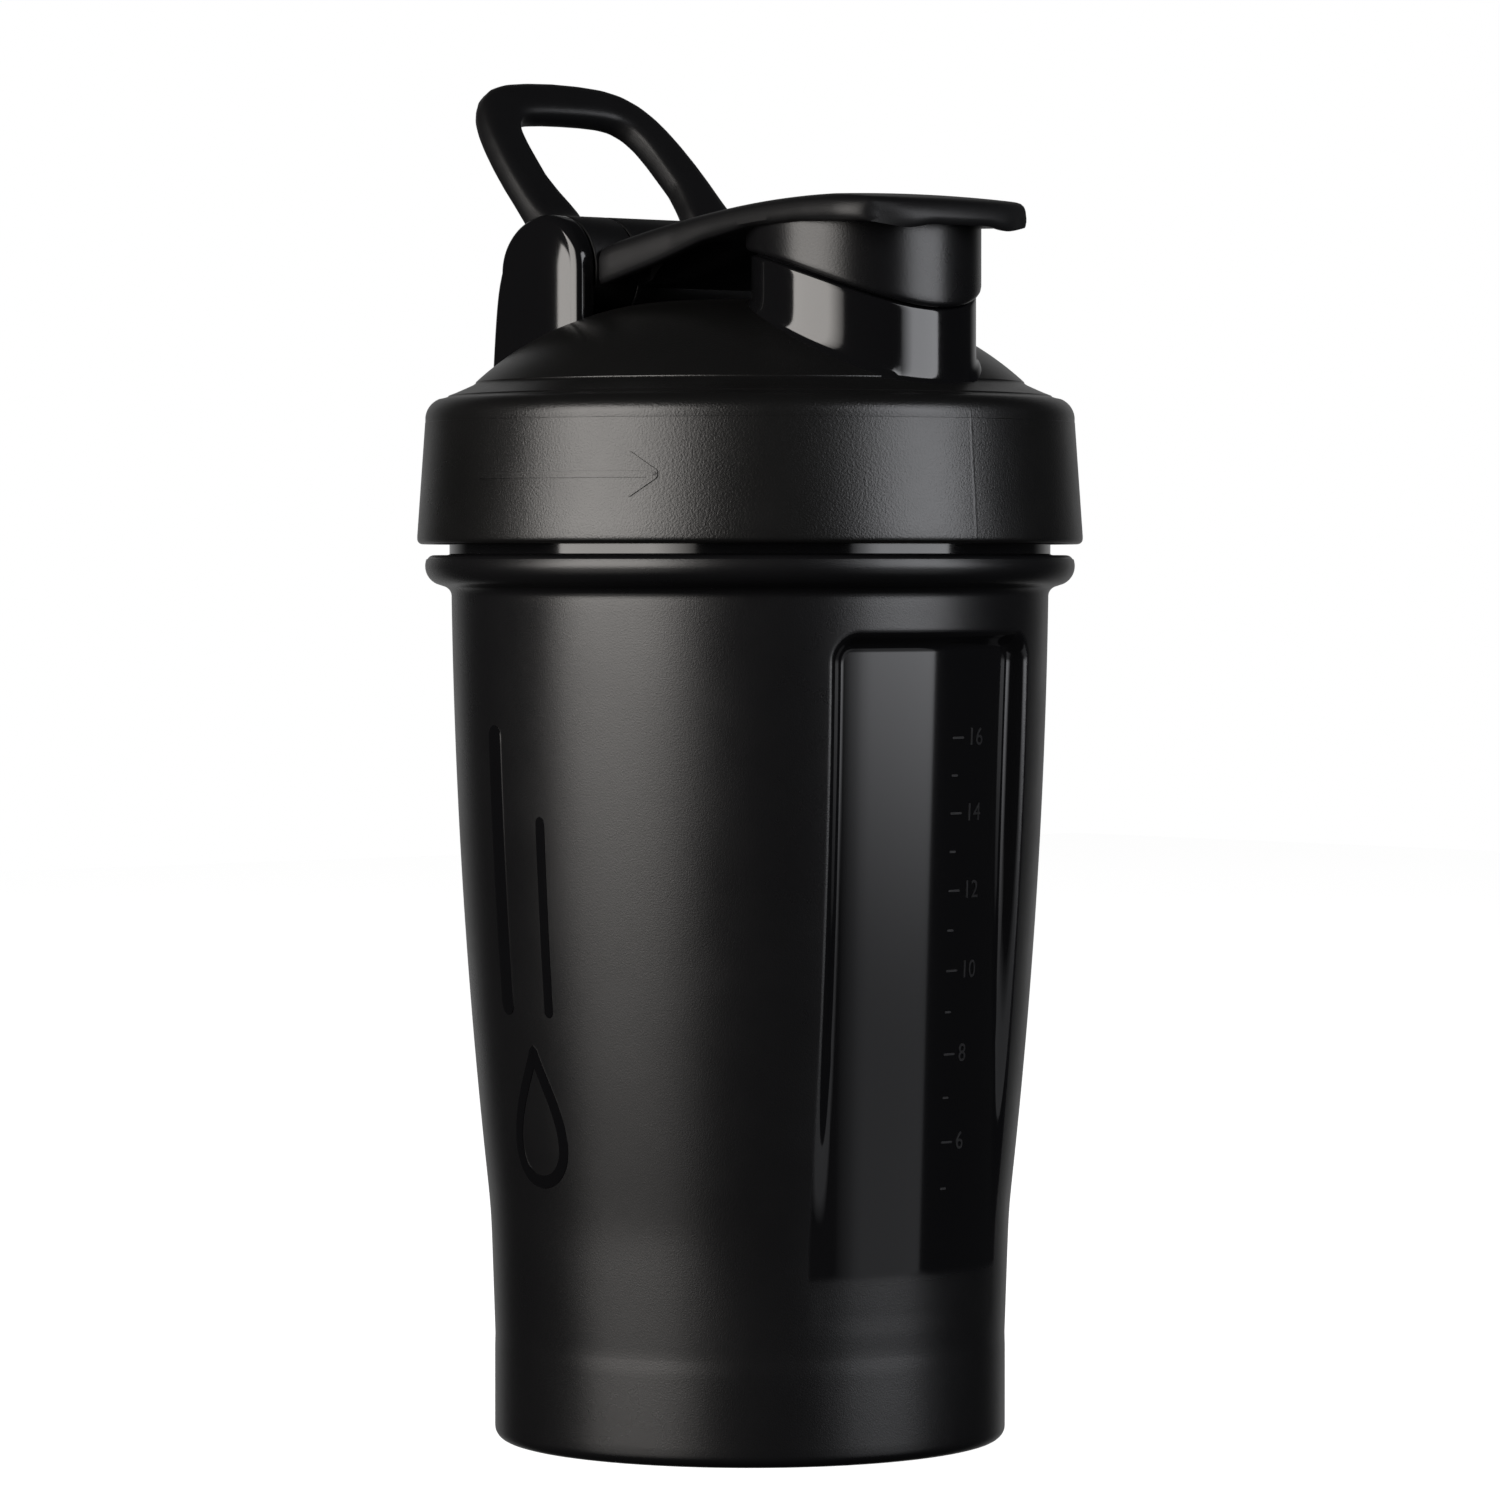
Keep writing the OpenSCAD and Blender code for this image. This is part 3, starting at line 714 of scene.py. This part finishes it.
# a thin raised arrow that says which way the lid turns
arrow_z = 142 * mm
arrow_w = 1 * mm
arrow_h = 0.24 * mm
arrow = [(line([-8 * mm, arrow_z], [24 * mm, arrow_z], arrow_w, height=arrow_h), False),
         (line([19.5 * mm, arrow_z + 3 * mm], [24 * mm, arrow_z], arrow_w, height=arrow_h), False),
         (line([19.5 * mm, arrow_z - 3 * mm], [24 * mm, arrow_z], arrow_w, height=arrow_h), False)]
arrow_piece = marks_piece("skirt_arrow", arrow, math.radians(-85), skirt_radius, 48.5 * mm)
fit(arrow_piece, "lid", lid_grain, "lid_plastic")

# --- Spout ----------------------------------------------------------------------------------------
# The spout is part of the lid's moulding but comes from a polished cavity. Its outer wall stops just
# under the cap's slanted collar, and a thinner lip carries on up inside the collar to the rim.
spout_r = 16.3 * mm
lip_r = 15.3 * mm
spout_rim = 176 * mm
collar_axis = (-9.2 * mm, 108.8 * mm)
collar_cut = 66 * mm


def on_spout(radius, z, turn):
    """Points at a radius, height and turn about the spout's upright axis; turn 0 faces -Y."""
    return np.stack([radius * np.sin(turn), -spout_y - radius * np.cos(turn), z + 0 * turn], -1)


def slanted_edge(radius, turn, arc_r):
    """Height at which an upright cylinder wall meets the cylinder across the bottle, of radius arc_r."""
    y = -spout_y - radius * np.cos(turn)
    return collar_axis[1] + np.sqrt(arc_r ** 2 - (y - collar_axis[0]) ** 2)


def dome_height(x, y):
    """Height of the lid's outer surface: flat crown, dome arc, then the shoulder's slope."""
    r = np.hypot(x, y)
    dome = dome_z0 + np.sqrt(np.maximum(dome_arc ** 2 - np.maximum(r - crown_r, 0) ** 2, 0))
    return np.where(r < 40.5 * mm, dome, 155.7 * mm - (r - 40.5 * mm) * 0.42)


def spout_piece(around=192):
    """Rings up the outer wall, over its shoulder, up the lip, over the rim and down the bore."""
    turn = np.linspace(0, 2 * math.pi, around, endpoint=False)
    foot = dome_height(spout_r * np.sin(turn), -spout_y - spout_r * np.cos(turn))
    edge = slanted_edge(spout_r, turn, collar_cut - 0.4 * mm)
    rings = [on_spout(spout_r + 1 * mm, foot - 1.5 * mm, turn)]
    for up in (-0.45, 0.05, 0.35, 0.7, 1.2, 2.0, 3.2):
        fillet = 0.75 * mm * math.exp(-max(up + 0.3, 0) / 0.55)
        rings.append(on_spout(spout_r + fillet, foot + up * mm, turn))
    for share in np.linspace(0.15, 1, 12):
        base = foot + 3.2 * mm
        rings.append(on_spout(spout_r, base + (edge - 0.6 * mm - base) * share, turn))
    for lean in (20, 45, 70, 90):
        a = math.radians(lean)
        rings.append(on_spout(spout_r - 0.5 * mm * (1 - math.cos(a)),
                              edge - 0.6 * mm + 0.5 * mm * math.sin(a), turn))
    rings.append(on_spout(lip_r + 0.2 * mm, edge - 0.1 * mm, turn))
    rings.append(on_spout(lip_r, edge + 0.15 * mm, turn))
    rings.append(on_spout(lip_r, spout_rim - 0.8 * mm, turn))
    for lean in np.linspace(10, 170, 9):
        a = math.radians(lean)
        centre = (lip_r + bore_r) / 2
        half = (lip_r - bore_r) / 2
        rings.append(on_spout(centre + half * math.cos(a), spout_rim - half + half * math.sin(a), turn))
    for z in (174, 168, 160, 153):
        rings.append(on_spout(bore_r, z * mm, turn))
    points = np.stack(rings)
    return make_mesh("spout", points, ring_faces(len(rings), around, closed=True), sharp=50)


lid_polish = plastic("lid_polish", (0.004, 0.004, 0.0045), 0.1, 0.9, 0.0015, waviness=1.2, smudge=0.02)
fit(spout_piece(), "lid", lid_polish, "lid_plastic", "lid")

# --- Hinge towers ---------------------------------------------------------------------------------
# Two polished arches on the dome hold the hinge pin's ends between them. Their outer faces
# are slightly full, and their edges are rounded where the mould's slides met.
tower_t = 4.5 * mm
tower_r = 8.25 * mm
tower_rear = 10.2 * mm


def tower_outline(count=40):
    """The arch in (y, z) about the hinge axis: front foot, over the top, then a deeper rear that runs out."""
    front = [[-tower_r, z] for z in np.linspace(-19 * mm, -1 * mm, 10)]
    over = arc(0, 0, tower_r, 180, 0, count)
    over[:, 0] = np.where(over[:, 0] > 0, over[:, 0] * tower_rear / tower_r, over[:, 0])
    drop = np.linspace(0.5 * mm, 19 * mm, 16)
    rear = tower_rear + 1.0 * mm * (1 - np.exp(-drop / (3 * mm))) + 0.08 * drop
    return np.concatenate([front, over, np.stack([rear, -drop], 1)])


def tower_piece(name, side):
    """Rings across the arch: inset round each edge, then drawn in to a spine that stands proud."""
    outline = tower_outline()
    step = np.gradient(outline, axis=0)
    normal = np.stack([-step[:, 1], step[:, 0]], 1)
    normal = normal / np.linalg.norm(normal, axis=1, keepdims=True)
    edge = 1.5 * mm
    full = 1.1 * mm
    rings = []

    def add(shape, depth):
        """One ring, at a depth in from the tower's outer face."""
        x = (tower_in + tower_t - depth) * side
        rings.append(np.stack([np.full(len(shape), x) if np.isscalar(x) else x, shape[:, 0] + hinge[1],
                               shape[:, 1] + hinge[2]], 1))

    def drawn_in(share):
        """The flat face's outline, shrunk towards the hinge axis above it and the middle below it."""
        shape = outline - normal * edge
        upper = np.where(shape[:, 1] > 0, shape[:, 1] * share, shape[:, 1])
        return np.stack([shape[:, 0] * share, upper], 1)

    for share in (0.02, 0.3, 0.55, 0.75, 0.9, 1.0):
        add(drawn_in(share), full * share ** 2)
    for lean in np.linspace(15, 90, 7):
        a = math.radians(lean)
        add(outline - normal * edge * (1 - math.sin(a)), full + edge * (1 - math.cos(a)))
    inner = 0.5 * mm
    for lean in np.linspace(90, 0, 5):
        a = math.radians(lean)
        add(outline - normal * inner * (1 - math.sin(a)), tower_t - inner * (1 - math.cos(a)))
    add(drawn_in(0.02), tower_t)
    points = np.stack(rings)
    if side < 0:
        points = points[:, ::-1]
    return make_mesh(name, points, closed_strip(points), sharp=50)


fit(tower_piece("tower_near", -1), "lid", lid_polish, "lid_plastic", "lid")
fit(tower_piece("tower_far", 1), "lid", lid_polish, "lid_plastic", "lid")

# --- Flip cap -------------------------------------------------------------------------------------
# One satin moulding: a long arm that arches from the hinge to a round head and a thumb tab, with a
# smoother collar hanging round the spout's lip and a drum on the hinge pin between the loop's drums.
drum_r = 8.2 * mm
cap_drum_w = 12 * mm
cap_root = 10.6 * mm
cap_root_middle = 15.5 * mm
tab_r = 46.9 * mm
cap_arc = 190 * mm
cap_peak_y = -36 * mm
cap_peak_z = 182.35 * mm
collar_r = 17.05 * mm
collar_bore = 15.75 * mm
pin_hole = 2.05 * mm


def cap_top(y):
    """Height of the arm's top along the bottle's middle plane: one long arc over its highest point."""
    return cap_peak_z - cap_arc + np.sqrt(cap_arc ** 2 - (y - cap_peak_y) ** 2)


def cap_half_width(y):
    """Half width of the cap: wide at the root, a waist, the head, then in to the thumb tab."""
    knots = np.array([-47.5, -44, -40, -36, -32, -27, -20, -12, -4, 4, 9, 16]) * mm
    widths = np.array([17.2, 17.3, 17.5, 17.8, 18.05, 18.2, 18.25, 18.35, 18.75, 19.6, 20.2, 20.2]) * mm
    return np.interp(y, knots, widths)


def cap_under(y):
    """Height of the edge's underside: the arm is deep at its root and thins towards the head."""
    knots = np.array([-47, -45, -43, -30, -20, -10, 0, 10.6, 16]) * mm
    heights = np.array([176.7, 177.0, 177.8, 178.2, 177.8, 176.1, 173.1, 170.3, 169.8]) * mm
    return np.interp(y, knots, heights)


def cap_plate(rows=90):
    """Closed sections across the arm, spaced from the root to the tab's curved edge."""
    v = np.linspace(0, 1, rows) ** 0.9
    u = np.concatenate([np.linspace(-1, -0.9, 7), np.linspace(-0.86, -0.64, 4), np.linspace(-0.61, -0.56, 5),
                        np.linspace(-0.5, 0.5, 17), np.linspace(0.56, 0.61, 5), np.linspace(0.64, 0.86, 4),
                        np.linspace(0.9, 1, 7)])
    across = u[None, :]
    span = cap_half_width(cap_root - (cap_root + tab_r) * v)[:, None]
    x0 = span * across
    beside_drum = smooth_step(11.6 * mm, 12.1 * mm, np.abs(x0))
    root = cap_root_middle - (cap_root_middle - cap_root) * beside_drum
    tip = -np.sqrt(tab_r ** 2 - x0 ** 2)
    y = root + (tip - root) * v[:, None]
    half_w = cap_half_width(y)
    # the tab's corners are rounded in plan over their last 6 mm
    corner = 6 * mm
    left = np.clip(y - tip, 0, corner)
    pull = corner - np.sqrt(np.maximum(corner ** 2 - (corner - left) ** 2, 0))
    x = (half_w - 0.55 * pull * smooth_step(0.3, 1, np.abs(across))) * across
    edge = np.minimum(half_w * (1 - np.abs(across)), 10 * mm)
    front = np.maximum(y - tip, 0)
    crown = 0.5 * mm * across ** 2
    top_round = 2.4 * mm
    near = np.minimum(edge, front)
    lean = np.clip(1 - near / top_round, 0, 1)
    top = cap_top(y) - crown - 0.85 * top_round * (1 - np.sqrt(np.maximum(1 - lean ** 2, 0)))
    droop = 1.1 * mm * np.clip((cap_peak_y - y) / (11 * mm), 0, 1) ** 1.6
    under_round = 0.9 * mm
    lift = np.clip(1 - near / under_round, 0, 1)
    hollow = 2.2 * mm * smooth_step(1.6 * mm, 5 * mm, edge) * smooth_step(-12 * mm, -2 * mm, y)
    hollow = hollow * smooth_step(0, 5 * mm, np.abs(x) - 11 * mm + 5 * mm * (y < 8 * mm))
    turn = np.degrees(np.arctan2(np.abs(x), -y))
    notch = 0.7 * mm * (1 - smooth_step(6, 12, turn)) * smooth_step(-42.5 * mm, -44.5 * mm, y)
    under = cap_under(y) + hollow + notch + under_round * (1 - np.sqrt(np.maximum(1 - lift ** 2, 0)))
    under = np.minimum(under, top - 0.9 * mm)
    top = top - droop
    upper = np.stack([x, y, top], -1)
    lower = np.stack([x, y, under], -1)[:, ::-1]
    return np.concatenate([upper, lower], 1)[:, ::-1]


def plate_faces(points):
    """The plate's skin, with each end closed by a row of quads from its top edge to its underside."""
    rings, around = points.shape[:2]
    j = np.arange(around // 2 - 1)
    end = np.stack([j, j + 1, around - 2 - j, around - 1 - j], 1)
    return ring_faces(rings, around) + end[:, ::-1].tolist() + (end + (rings - 1) * around).tolist()


def drum(name, x0, x1, radius, edge=0.35 * mm, around=96):
    """A knuckle about the hinge axis from x0 to x1, bored for the pin, with rounded rims."""
    lean = np.radians(np.linspace(0, 90, 5))
    left = np.stack([x0 + edge * (1 - np.sin(lean)), radius - edge * (1 - np.cos(lean))], 1)[::-1]
    right = np.stack([x1 - edge * (1 - np.sin(lean)), radius - edge * (1 - np.cos(lean))], 1)
    profile = np.concatenate([[[x0, pin_hole]], left, right, [[x1, pin_hole]]])
    turn = np.linspace(0, 2 * math.pi, around, endpoint=False)[None, :]
    x = profile[:, None, 0] + 0 * turn
    y = hinge[1] + profile[:, None, 1] * np.cos(turn)
    z = hinge[2] + profile[:, None, 1] * np.sin(turn)
    return make_mesh(name, np.stack([x, y, z], -1), ring_faces(len(profile), around, closed=True))


def collar_piece(around=192):
    """Rings down the collar's outer wall, round its slanted lower edge and up inside."""
    turn = np.linspace(0, 2 * math.pi, around, endpoint=False)
    edge = slanted_edge(collar_r, turn, collar_cut)
    inner_edge = slanted_edge(collar_bore, turn, collar_cut)
    top = 178.6 * mm
    rings = [on_spout(collar_r, top + (edge + 0.8 * mm - top) * share, turn)
             for share in np.linspace(0, 1, 14)]
    for lean in (25, 50, 75):
        a = math.radians(lean)
        rings.append(on_spout(collar_r - 0.7 * mm * (1 - math.cos(a)),
                              edge + 0.8 * mm - 0.8 * mm * math.sin(a), turn))
    rings.append(on_spout(collar_r - 0.75 * mm, edge, turn))
    rings.append(on_spout(collar_bore + 0.2 * mm, inner_edge, turn))
    rings.append(on_spout(collar_bore, inner_edge + 0.2 * mm, turn))
    rings.append(on_spout(collar_bore, top, turn))
    points = np.stack(rings)[::-1]
    return make_mesh("cap_collar", points, ring_faces(len(rings), around, closed=True), sharp=50)


cap_satin = plastic("cap_satin", (0.0045, 0.0045, 0.005), 0.44, 0.24, 0.022, waviness=0.4, shine=0.29)
collar_satin = plastic("collar_satin", (0.004, 0.004, 0.0045), 0.27, 0.3, 0.018, shine=0.4)
plate_points = cap_plate()
cap_top_piece = make_mesh("cap_arm", plate_points, plate_faces(plate_points), sharp=40)
fit(cap_top_piece, "flip_cap", cap_satin, "cap_plastic", "flip_cap")
fit(drum("cap_drum", -cap_drum_w, cap_drum_w, drum_r), "flip_cap", cap_satin, "cap_plastic", "flip_cap")
fit(collar_piece(), "flip_cap", collar_satin, "cap_plastic", "flip_cap")

# --- Carry loop -----------------------------------------------------------------------------------
# A satin ring moulded in one with its two drums. It leans back behind the hinge, its legs thicken
# where they run into the drums, and a fine parting line follows the middle of its band.
loop_lean = math.radians(44.3)
loop_t = 4.3 * mm
loop_in = 12.3 * mm
loop_out = 20.25 * mm


def loop_curve(points, count):
    """count points, evenly spaced, along a smooth curve through the given points."""
    points = np.array(points) * mm
    along = np.concatenate([[0], np.cumsum(np.linalg.norm(np.diff(points, axis=0), axis=1))])
    fine = np.linspace(0, along[-1], 400)
    line = np.stack([np.interp(fine, along, points[:, k]) for k in (0, 1)], 1)
    kernel = np.hanning(23)
    kernel /= kernel.sum()
    padded = np.concatenate([2 * line[:1] - line[11:0:-1], line, 2 * line[-1:] - line[-2:-13:-1]])
    smooth = np.stack([np.convolve(padded[:, k], kernel, "valid") for k in (0, 1)], 1)
    along = np.concatenate([[0], np.cumsum(np.linalg.norm(np.diff(smooth, axis=0), axis=1))])
    even = np.linspace(0, along[-1], count)
    return np.stack([np.interp(even, along, smooth[:, k]) for k in (0, 1)], 1)


def loop_halves(count=60):
    """Outer and inner edge of the left half of the loop, from inside the drum, clear of the pin, to the
    middle of the top bar."""
    outer = [[19.75, 3], [19.75, 8], [19.75, 14], [19.6, 19.6], [19.25, 23.7], [18.65, 27.9], [17.9, 31.2],
             [16.9, 34], [15.3, 36.6], [12.8, 38.7], [9.5, 39.9], [5, 40.5], [0, 40.7]]
    inner = [[12.6, 3], [12.6, 8.4], [11.2, 10.2], [11.4, 12.6], [12.1, 15.6], [12.6, 19], [12.2, 25.8],
             [11.8, 28.8], [10.9, 31.2], [9.2, 32.9], [7, 33.5], [3.5, 33.75], [0, 33.8]]
    return loop_curve(outer, count), loop_curve(inner, count)


def loop_piece():
    """Rounded sections between the loop's two edges, carried from one drum round to the other."""
    outer, inner = loop_halves()
    flip = np.array([-1, 1])
    outer = np.concatenate([outer * flip, outer[-2::-1]])
    inner = np.concatenate([inner * flip, inner[-2::-1]])
    reach = (outer[:, 1] + inner[:, 1])[:, None] / 2
    front = loop_t / 2 + 2.3 * mm * np.exp(-np.maximum(reach - 7 * mm, 0) / (2.2 * mm))
    back = loop_t / 2 + 1.2 * mm * np.exp(-np.maximum(reach - 7 * mm, 0) / (2.2 * mm))
    # a section in (share of the band's width from -1 to 1, share of its half thickness), rounded
    turn = np.radians(np.arange(0, 360, 9))[None, :]
    blunt = 0.55
    across = np.sign(np.cos(turn)) * np.abs(np.cos(turn)) ** blunt
    through = np.sign(np.sin(turn)) * np.abs(np.sin(turn)) ** blunt
    middle = (outer + inner) / 2
    half = (outer - inner) / 2
    seam = 1 + 0.05 * np.exp(-((through / 0.12) ** 2)) * (np.abs(across) > 0.9)
    plane = middle[:, None, :] + half[:, None, :] * (across * seam)[:, :, None]
    depth = np.where(through > 0, through * front, through * back)
    lean_y, lean_z = math.sin(loop_lean), math.cos(loop_lean)
    y = hinge[1] + plane[:, :, 1] * lean_y - depth * lean_z
    z = hinge[2] + plane[:, :, 1] * lean_z + depth * lean_y
    points = np.stack([plane[:, :, 0], y, z], -1)
    return make_mesh("loop_ring", points, closed_strip(points), sharp=60)


fit(loop_piece(), "carry_loop", cap_satin, "cap_plastic", "carry_loop")
fit(drum("loop_drum_near", -loop_out, -loop_in, drum_r), "carry_loop", cap_satin, "cap_plastic", "carry_loop")
fit(drum("loop_drum_far", loop_in, loop_out, drum_r), "carry_loop", cap_satin, "cap_plastic", "carry_loop")

# --- Pin, seals and whisk ball --------------------------------------------------------------------
# Inside: a drawn steel pin through the drums, a soft gasket and plug, and the loose ball of polished
# stainless wire that is shaken about in the jar.


def steel(name, colour, rough, streak):
    """Bare drawn steel with fine streaks that change its roughness along one direction."""
    material = bpy.data.materials.new(name)
    material.use_nodes = True
    tree = material.node_tree
    link = tree.links.new
    shader = tree.nodes["Principled BSDF"]
    shader.inputs["Base Color"].default_value = (*colour, 1)
    shader.inputs["Metallic"].default_value = 1
    place = tree.nodes.new("ShaderNodeTexCoord")
    stretch = tree.nodes.new("ShaderNodeMapping")
    stretch.inputs["Scale"].default_value = streak
    noise = tree.nodes.new("ShaderNodeTexNoise")
    noise.inputs["Scale"].default_value = 900
    noise.inputs["Detail"].default_value = 3
    span = tree.nodes.new("ShaderNodeMapRange")
    span.inputs["To Min"].default_value = rough - 0.08
    span.inputs["To Max"].default_value = rough + 0.1
    link(place.outputs["Object"], stretch.inputs["Vector"])
    link(stretch.outputs["Vector"], noise.inputs["Vector"])
    link(noise.outputs["Fac"], span.inputs["Value"])
    link(span.outputs["Result"], shader.inputs["Roughness"])
    return material


def whisk_piece(turns=8, sides=12, steps=48):
    """A round wire whose centre runs over a sphere from near one pole to near the other."""
    low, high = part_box("whisk_ball")
    centre = (low + high) / 2
    wire = 1.1 * mm
    coil = 25 * mm - wire
    share = np.linspace(0, 1, turns * steps + 1)
    tilt = np.radians(14 + 152 * share)
    turn = share * turns * 2 * math.pi
    out = np.stack([np.sin(tilt) * np.cos(turn), np.sin(tilt) * np.sin(turn), np.cos(tilt)], 1)
    ahead = np.gradient(out, axis=0)
    side = np.cross(ahead, out)
    side = side / np.linalg.norm(side, axis=1, keepdims=True)
    ring = np.radians(np.arange(sides) * 360 / sides)
    points = (np.array([0, 0, centre.z]) + coil * out)[:, None, :] + wire * (
        out[:, None, :] * np.cos(ring)[None, :, None] + side[:, None, :] * np.sin(ring)[None, :, None])
    return make_mesh("whisk_wire", points, closed_strip(points))


def finish_node(name, material):
    """Gives a CAD node that keeps its own mesh its finished material."""
    nodes[name].data.materials.clear()
    nodes[name].data.materials.append(material)


seal_rubber = plastic("seal_rubber", (0.03, 0.03, 0.032), 0.6, 0.3, 0.01)
finish_node("hinge_pin", steel("pin_steel", (0.6, 0.6, 0.61), 0.3, (0.03, 1, 1)))
finish_node("lid_gasket", seal_rubber)
finish_node("spout_plug", seal_rubber)
whisk_steel = steel("whisk_steel", (0.66, 0.66, 0.67), 0.16, (1, 1, 1))
fit(whisk_piece(), "whisk", whisk_steel, "whisk_wire", "whisk_ball")
